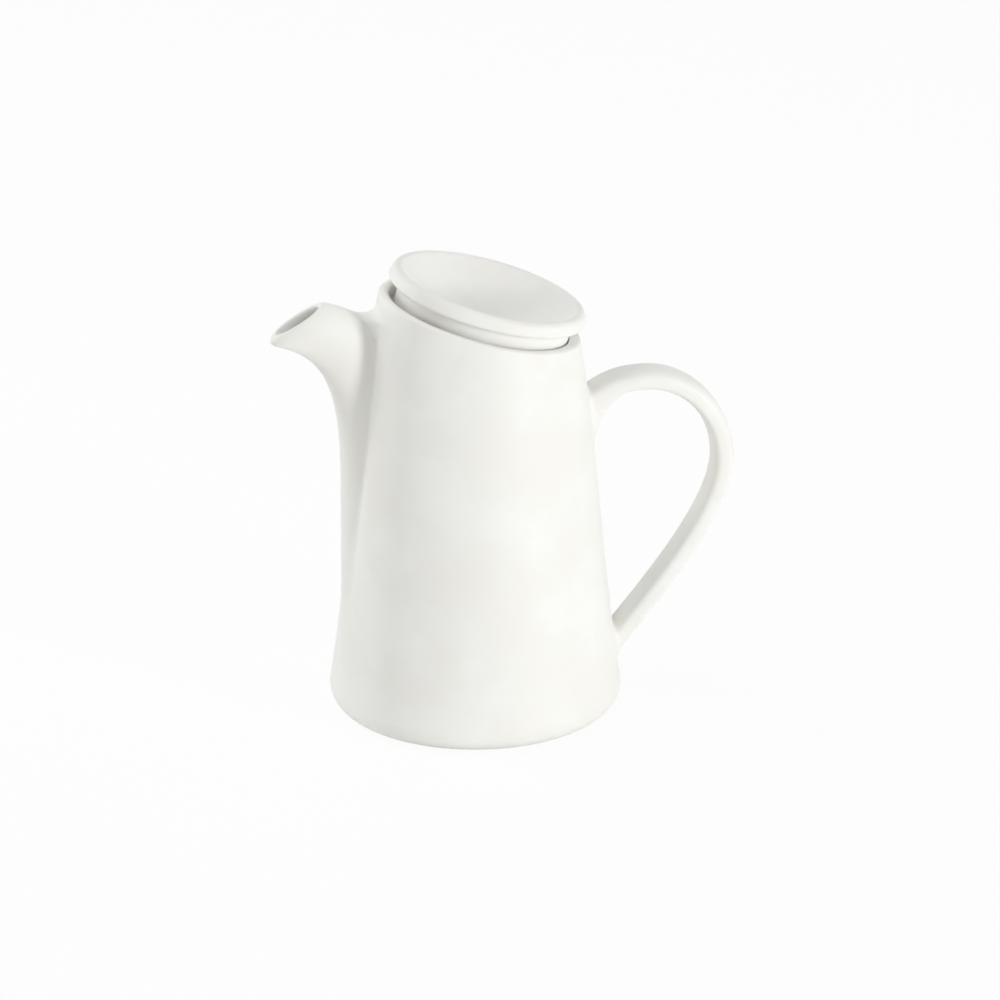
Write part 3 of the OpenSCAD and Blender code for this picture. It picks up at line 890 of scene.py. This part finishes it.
def lid_profile(form, lid):
    """The lid's half profile in the mouth's frame: dish, rolled rim, collar, spigot and underside."""
    collar_r, spigot_r = form.bore_r - lid.gap, form.throat_r - lid.gap
    seat_z = lid.seat_gap - form.jug.seat_depth
    # The rim is rounded more tightly below than above
    rim_r = lid.rim_t / 2
    low_r = 0.6 * rim_r
    rim_out = collar_r + lid.rim_over
    rim_c = (rim_out - lid.rim_flare - rim_r, lid.rise + lid.rim_h - rim_r)
    low_c = (rim_out - low_r, lid.rise + low_r)
    # The direction in which the rim's outer face looks, square to the line that touches both roundings
    way = Vector((low_c[0] - rim_c[0], low_c[1] - rim_c[1]))
    face = math.atan2(way.y, way.x) + math.acos((rim_r - low_r) / way.length)
    edge_r = rim_c[0] - rim_r * math.sin(lid.dish_lean)
    edge_z = rim_c[1] + rim_r * math.cos(lid.dish_lean)
    power = edge_r * math.tan(lid.dish_lean) / lid.dish_depth

    def dish_z(r):
        return edge_z - lid.dish_depth * (1 - (r / edge_r) ** power)

    top = [(r, dish_z(r)) for r in np.linspace(0, 1, 41)[:-1] * edge_r]
    rim = arc(rim_c, rim_r, math.pi / 2 + lid.dish_lean, face, 20) + arc(low_c, low_r, face, -math.pi / 2, 12)
    inner_r = collar_r - lid.collar_t
    bore_r = spigot_r - lid.collar_t
    # Where the underside is followed from, as a share of the collar's inside
    under_part = 0.9
    collar = rounded([
        (rim[-1], 0),
        ((collar_r, lid.rise), lid.cove),
        ((collar_r, seat_z), lid.corner),
        ((spigot_r, seat_z), 0.5 * lid.corner),
        ((spigot_r, seat_z - lid.spigot_h), lid.corner),
        ((bore_r, seat_z - lid.spigot_h), lid.corner),
        ((bore_r, seat_z), 2 * lid.corner),
        ((inner_r, seat_z + collar_r - spigot_r), 2 * lid.corner),
        ((inner_r, dish_z(inner_r) - lid.dish_t), lid.corner),
        ((under_part * inner_r, dish_z(under_part * inner_r) - lid.dish_t), 0),
    ])
    under = [(r, dish_z(r) - lid.dish_t) for r in np.linspace(under_part, 0, 31)[1:] * inner_r]
    return top + rim + collar[1:] + under


def turning_tree():
    """Node tree that turns a profile about its own axis, tilts it and sets it in its place."""
    tree = bpy.data.node_groups.new("turned_piece", "GeometryNodeTree")
    sockets = (
        ("Profile", "NodeSocketGeometry"),
        ("Sides", "NodeSocketInt"),
        ("Slant", "NodeSocketFloat"),
        ("Place", "NodeSocketVector"),
        ("Material", "NodeSocketMaterial"),
    )
    for name, kind in sockets:
        tree.interface.new_socket(name, in_out="INPUT", socket_type=kind)
    tree.interface.new_socket("Piece", in_out="OUTPUT", socket_type="NodeSocketGeometry")
    given = add(tree, "NodeGroupInput").outputs
    domain = add(tree, "GeometryNodeAttributeDomainSize", {"Geometry": given["Profile"]})
    count = domain.outputs["Point Count"]
    columns = add(tree, "ShaderNodeMath", {0: given["Sides"], 1: 1.0}, operation="ADD").outputs[0]
    grid = add(tree, "GeometryNodeMeshGrid", {"Vertices X": columns, "Vertices Y": count}).outputs["Mesh"]
    index = add(tree, "GeometryNodeInputIndex").outputs[0]
    row = add(tree, "ShaderNodeMath", {0: index, 1: count}, operation="MODULO").outputs[0]
    share = add(tree, "ShaderNodeMath", {0: index, 1: count}, operation="DIVIDE").outputs[0]
    column = add(tree, "ShaderNodeMath", {0: share}, operation="FLOOR").outputs[0]
    part = add(tree, "ShaderNodeMath", {0: column, 1: given["Sides"]}, operation="DIVIDE").outputs[0]
    turn = add(tree, "ShaderNodeMath", {0: part, 1: TURN}, operation="MULTIPLY").outputs[0]
    own = add(tree, "GeometryNodeInputPosition").outputs[0]
    point = add(
        tree,
        "GeometryNodeSampleIndex",
        {"Geometry": given["Profile"], "Value": own, "Index": row},
        data_type="FLOAT_VECTOR",
    ).outputs["Value"]
    spun = add(
        tree, "ShaderNodeVectorRotate", {"Vector": point, "Angle": turn}, rotation_type="Z_AXIS"
    ).outputs[0]
    turned = add(tree, "GeometryNodeSetPosition", {"Geometry": grid, "Position": spun}).outputs[0]
    closed = add(
        tree, "GeometryNodeMergeByDistance", {"Geometry": turned, "Distance": TURNED_MERGE}
    ).outputs[0]
    tilt = add(tree, "ShaderNodeCombineXYZ", {"Y": given["Slant"]}).outputs[0]
    seated = add(
        tree, "GeometryNodeTransform", {"Geometry": closed, "Translation": given["Place"], "Rotation": tilt}
    ).outputs[0]
    real = add(tree, "GeometryNodeRealizeInstances", {"Geometry": seated}).outputs[0]
    coated = add(tree, "GeometryNodeSetMaterial", {"Geometry": real, "Material": given["Material"]})
    add(tree, "NodeGroupOutput", {"Piece": coated.outputs[0]})
    return tree


def turned_mesh(name, profile, values):
    """Runs the turning tree on a profile of radii and heights, and gives the plain mesh."""
    line = bpy.data.meshes.new(name)
    line.from_pydata([(r, 0, z) for r, z in profile], [(i, i + 1) for i in range(len(profile) - 1)], [])
    holder = bpy.data.objects.new(name + "_profile", line)
    bpy.context.scene.collection.objects.link(holder)
    modifier = holder.modifiers.new("turn", "NODES")
    modifier.node_group = turning_tree()
    for item in modifier.node_group.interface.items_tree:
        if item.in_out == "INPUT" and item.name in values:
            modifier[item.identifier] = values[item.name]
    depsgraph = bpy.context.evaluated_depsgraph_get()
    mesh = bpy.data.meshes.new_from_object(holder.evaluated_get(depsgraph), depsgraph=depsgraph)
    holder.modifiers.remove(modifier)
    bpy.data.objects.remove(holder)
    bpy.data.meshes.remove(line)
    mesh.name = name
    close_up(mesh)
    return mesh


# Finish


def satin_glaze():
    """Satin glazed stoneware, dipped and fired: a warm, slightly uneven white with a broad soft gloss."""
    name = "satin_glazed_ceramic"
    if name in bpy.data.materials:
        return bpy.data.materials[name]
    colours = bpy.context.scene.coffee_jug.glaze
    material = bpy.data.materials.new(name)
    material.use_nodes = True
    tree = material.node_tree
    shader = tree.nodes["Principled BSDF"]
    place = add(tree, "ShaderNodeTexCoord").outputs["Object"]

    # Clouds 35 mm wide where the dipped glaze lies thicker or thinner
    cloud = add(
        tree,
        "ShaderNodeTexNoise",
        {"Vector": place, "Scale": 1 / (35 * MM), "Detail": 3.0, "Roughness": 0.55},
    ).outputs["Fac"]
    thinness = add(
        tree,
        "ShaderNodeMapRange",
        {"Value": cloud, "From Min": 0.35, "From Max": 0.65},
        interpolation_type="SMOOTHSTEP",
    ).outputs[0]
    glaze = add(
        tree,
        "ShaderNodeMix",
        {"Factor": thinness, 6: (*colours.full, 1), 7: (*colours.thin, 1)},
        data_type="RGBA",
    ).outputs[2]

    # The foot ring was wiped clean up to 0.4 mm above the table, so that it doesn't stick in the kiln
    height = add(tree, "ShaderNodeSeparateXYZ", {"Vector": place}).outputs["Z"]
    wiped = add(
        tree,
        "ShaderNodeMapRange",
        {"Value": height, "From Min": 0.25 * MM, "From Max": 0.55 * MM, "To Min": 1.0, "To Max": 0.0},
    ).outputs[0]
    surface = add(
        tree, "ShaderNodeMix", {"Factor": wiped, 6: glaze, 7: (*colours.clay, 1)}, data_type="RGBA"
    ).outputs[2]
    tree.links.new(surface, shader.inputs["Base Color"])

    # The gloss is a little duller where the glaze lies thin, and bare clay is nearly matt
    gloss = add(
        tree,
        "ShaderNodeMapRange",
        {"Value": cloud, "From Min": 0.3, "From Max": 0.7, "To Min": 0.54, "To Max": 0.62},
    ).outputs[0]
    rough = add(tree, "ShaderNodeMix", {"Factor": wiped, "A": gloss, "B": 0.85}).outputs[0]
    tree.links.new(rough, shader.inputs["Roughness"])
    shader.inputs["IOR"].default_value = 1.5

    # Orange peel 1.6 mm wide and slow waves 14 mm wide, drawn a little stronger than real so that they show
    peel = add(
        tree, "ShaderNodeTexNoise", {"Vector": place, "Scale": 1 / (1.6 * MM), "Detail": 1.0}
    ).outputs["Fac"]
    waves = add(
        tree, "ShaderNodeTexNoise", {"Vector": place, "Scale": 1 / (14 * MM), "Detail": 1.0}
    ).outputs["Fac"]
    slow = add(tree, "ShaderNodeBump", {"Height": waves, "Strength": 1.0, "Distance": 0.03 * MM}).outputs[0]
    fine = add(
        tree, "ShaderNodeBump", {"Height": peel, "Strength": 1.0, "Distance": 0.004 * MM, "Normal": slow}
    ).outputs[0]
    tree.links.new(fine, shader.inputs["Normal"])
    return material


def seen_rays(tree):
    """1 for camera rays and for mirrored and refracted ones, and 0 for the rest, which only carry light."""
    path = add(tree, "ShaderNodeLightPath").outputs
    seen = path["Is Camera Ray"]
    for name in ("Is Glossy Ray", "Is Transmission Ray"):
        seen = add(tree, "ShaderNodeMath", {0: seen, 1: path[name]}, operation="MAXIMUM").outputs[0]
    return seen


def studio_floor(tint, white_share):
    """Matt studio paper: to the eye it is white, and it keeps the soft shadow of what stands on it."""
    material = bpy.data.materials.new("studio_paper")
    material.use_nodes = True
    tree = material.node_tree
    tree.nodes.clear()
    share = add(tree, "ShaderNodeMath", {0: seen_rays(tree), 1: white_share}, operation="MULTIPLY").outputs[0]
    # Paper grain 2 mm wide
    place = add(tree, "ShaderNodeTexCoord").outputs["Object"]
    grain = add(
        tree, "ShaderNodeTexNoise", {"Vector": place, "Scale": 1 / (2 * MM), "Detail": 2.0}
    ).outputs["Fac"]
    nap = add(tree, "ShaderNodeBump", {"Height": grain, "Strength": 0.1, "Distance": 0.05 * MM}).outputs[0]
    paper = add(tree, "ShaderNodeBsdfDiffuse", {"Color": (*tint, 1), "Normal": nap}).outputs[0]
    white = add(tree, "ShaderNodeEmission", {"Color": (1, 1, 1, 1), "Strength": 1.0}).outputs[0]
    both = add(tree, "ShaderNodeMixShader", {0: share, 1: paper, 2: white}).outputs[0]
    add(tree, "ShaderNodeOutputMaterial", {"Surface": both})
    return material


def studio_sky(strength):
    """Even light from all around, which is white where it is seen."""
    world = bpy.data.worlds.new("studio_sky")
    world.use_nodes = True
    tree = world.node_tree
    tree.nodes.clear()
    level = add(
        tree, "ShaderNodeMapRange", {"Value": seen_rays(tree), "To Min": strength, "To Max": 1.0}
    ).outputs[0]
    sky = add(tree, "ShaderNodeBackground", {"Color": (1, 1, 1, 1), "Strength": level}).outputs[0]
    add(tree, "ShaderNodeOutputWorld", {"Surface": sky})
    bpy.context.scene.world = world


def aim(obj, place, target):
    """Puts a lamp or the camera in its place, looking at a target."""
    turn = (target - place).to_track_quat("-Z", "Y").to_matrix().to_4x4()
    obj.matrix_world = Matrix.Translation(place) @ turn


def around_jug(azimuth, elevation, distance, target):
    """A place round the jug: azimuth 0 is in front of it, and turns to the right."""
    level = math.cos(elevation)
    way = Vector((math.sin(azimuth) * level, -math.cos(azimuth) * level, math.sin(elevation)))
    return target + way * distance


# Operators


class COFFEE_JUG_OT_wall(bpy.types.Operator):
    """Makes the jug's wall with its foot ring, lip and seat, and cuts the spout's channel through it"""

    bl_idname = "coffee_jug.wall"
    bl_label = "Jug"

    def execute(self, context):
        settings = context.scene.coffee_jug
        form = JugForm(settings.jug)
        wall = skin("jug", jug_rows(form))
        shape = SpoutForm(settings.spout, form)
        channel, _ = shape.channel_rows(full_turn(96), 60)
        place_piece("jug", cut(wall, skin("channel", channel)), "jug", ["jug_body"])
        return {"FINISHED"}


class COFFEE_JUG_OT_spout(bpy.types.Operator):
    """Makes the beak spout with its keel, its rounded end and its channel"""

    bl_idname = "coffee_jug.spout"
    bl_label = "Spout"

    def execute(self, context):
        settings = context.scene.coffee_jug
        form = JugForm(settings.jug)
        shape = SpoutForm(settings.spout, form)
        place_piece("beak_spout", skin("beak_spout", spout_rows(form, shape), ring=True), "jug", ["spout"])
        return {"FINISHED"}


class COFFEE_JUG_OT_handle(bpy.types.Operator):
    """Makes the strap handle with the web under its upper end"""

    bl_idname = "coffee_jug.handle"
    bl_label = "Handle"

    def execute(self, context):
        settings = context.scene.coffee_jug
        form = JugForm(settings.jug)
        rows = handle_rows(form, HandleForm(settings.handle, form))
        place_piece("strap_handle", skin("strap_handle", rows), "jug", ["handle"])
        return {"FINISHED"}


class COFFEE_JUG_OT_lid(bpy.types.Operator):
    """Turns the dished lid with its rolled rim and its collar"""

    bl_idname = "coffee_jug.lid"
    bl_label = "Lid"

    def execute(self, context):
        settings = context.scene.coffee_jug
        form = JugForm(settings.jug)
        slip = settings.lid.gap - settings.lid.rest_gap
        values = {
            "Sides": settings.lid.columns,
            "Slant": settings.jug.tilt,
            "Place": [float(x) for x in form.from_mouth(0.0, slip, 0.0)],
            "Material": satin_glaze(),
        }
        mesh = turned_mesh("lid", lid_profile(form, settings.lid), values)
        place_piece("lid", mesh, "lid", ["lid_dish", "lid_collar"])
        return {"FINISHED"}


class COFFEE_JUG_OT_stage(bpy.types.Operator):
    """Sets the floor, the light and the camera"""

    bl_idname = "coffee_jug.stage"
    bl_label = "Stage"

    def execute(self, context):
        stage = context.scene.coffee_jug.stage
        scene = context.scene
        scene.view_settings.view_transform = "Standard"

        # Metres from the jug to the floor's edges
        half = 4
        corners = [(-half, -half, 0), (half, -half, 0), (half, half, 0), (-half, half, 0)]
        mesh = bpy.data.meshes.new("floor")
        mesh.from_pydata(corners, [], [(0, 1, 2, 3)])
        mesh.materials.append(studio_floor(stage.floor, stage.white))
        floor = bpy.data.objects.new("floor", mesh)
        scene.collection.objects.link(floor)
        studio_sky(stage.sky)

        # Each lamp has its azimuth and elevation in degrees, then its distance, width and height in metres
        middle = Vector((0, 0, stage.look_h))
        narrow, broad = (1.5, 0.18, 0.3), (1.3, 0.6, 0.6)
        lamps = (
            ("key", 40, 6, narrow, stage.key_w),
            ("front", -57, 12, broad, stage.front_w),
            ("left", -110, 50, broad, stage.left_w),
            ("side", -125, 12, broad, stage.side_w),
            ("right", 110, 15, broad, stage.right_w),
            ("back", 180, 45, broad, stage.back_w),
            ("top", 0, 88, broad, stage.top_w),
        )
        for name, azimuth, elevation, (distance, width, height), power in lamps:
            lamp = bpy.data.lights.new(name, "AREA")
            lamp.shape = "RECTANGLE"
            lamp.size, lamp.size_y = width, height
            lamp.energy = power
            holder = bpy.data.objects.new(name, lamp)
            scene.collection.objects.link(holder)
            aim(holder, around_jug(math.radians(azimuth), math.radians(elevation), distance, middle), middle)

        lens = bpy.data.cameras.new("camera")
        lens.lens = stage.lens_mm
        camera = bpy.data.objects.new("camera", lens)
        scene.collection.objects.link(camera)
        place = around_jug(stage.azimuth, stage.elevation, stage.distance, middle)
        aim(camera, place, middle)
        right, up = (camera.matrix_world.to_3x3().col[i].normalized() for i in (0, 1))
        shift = right * stage.shift_right - up * stage.shift_down
        aim(camera, place + shift, middle + shift)
        scene.camera = camera
        return {"FINISHED"}


class COFFEE_JUG_PT_pieces(bpy.types.Panel):
    """Lists the jug's pieces, its sizes and its glaze"""

    bl_label = "Coffee jug"
    bl_idname = "COFFEE_JUG_PT_pieces"
    bl_space_type = "VIEW_3D"
    bl_region_type = "UI"
    bl_category = "Coffee jug"

    def draw(self, context):
        settings = context.scene.coffee_jug
        for operator, group in PIECES:
            box = self.layout.box()
            box.operator(operator.bl_idname)
            self.list_settings(box, getattr(settings, group))
        box = self.layout.box()
        box.label(text="Glaze")
        self.list_settings(box, settings.glaze)

    def list_settings(self, box, group):
        for name in group.__annotations__:
            box.prop(group, name)


PIECES = (
    (COFFEE_JUG_OT_wall, "jug"),
    (COFFEE_JUG_OT_spout, "spout"),
    (COFFEE_JUG_OT_handle, "handle"),
    (COFFEE_JUG_OT_lid, "lid"),
    (COFFEE_JUG_OT_stage, "stage"),
)
CLASSES = (
    JugSizes,
    SpoutSizes,
    HandleSizes,
    LidSizes,
    GlazeColours,
    StageSettings,
    CoffeeJug,
    *(operator for operator, _ in PIECES),
    COFFEE_JUG_PT_pieces,
)


def register():
    for cls in CLASSES:
        bpy.utils.register_class(cls)
    bpy.types.Scene.coffee_jug = PointerProperty(type=CoffeeJug)


def unregister():
    del bpy.types.Scene.coffee_jug
    for cls in reversed(CLASSES):
        bpy.utils.unregister_class(cls)


def main():
    register()
    bpy.ops.coffee_jug.wall()
    bpy.ops.coffee_jug.spout()
    bpy.ops.coffee_jug.handle()
    bpy.ops.coffee_jug.lid()
    bpy.ops.coffee_jug.stage()


if __name__ == "__main__":
    main()
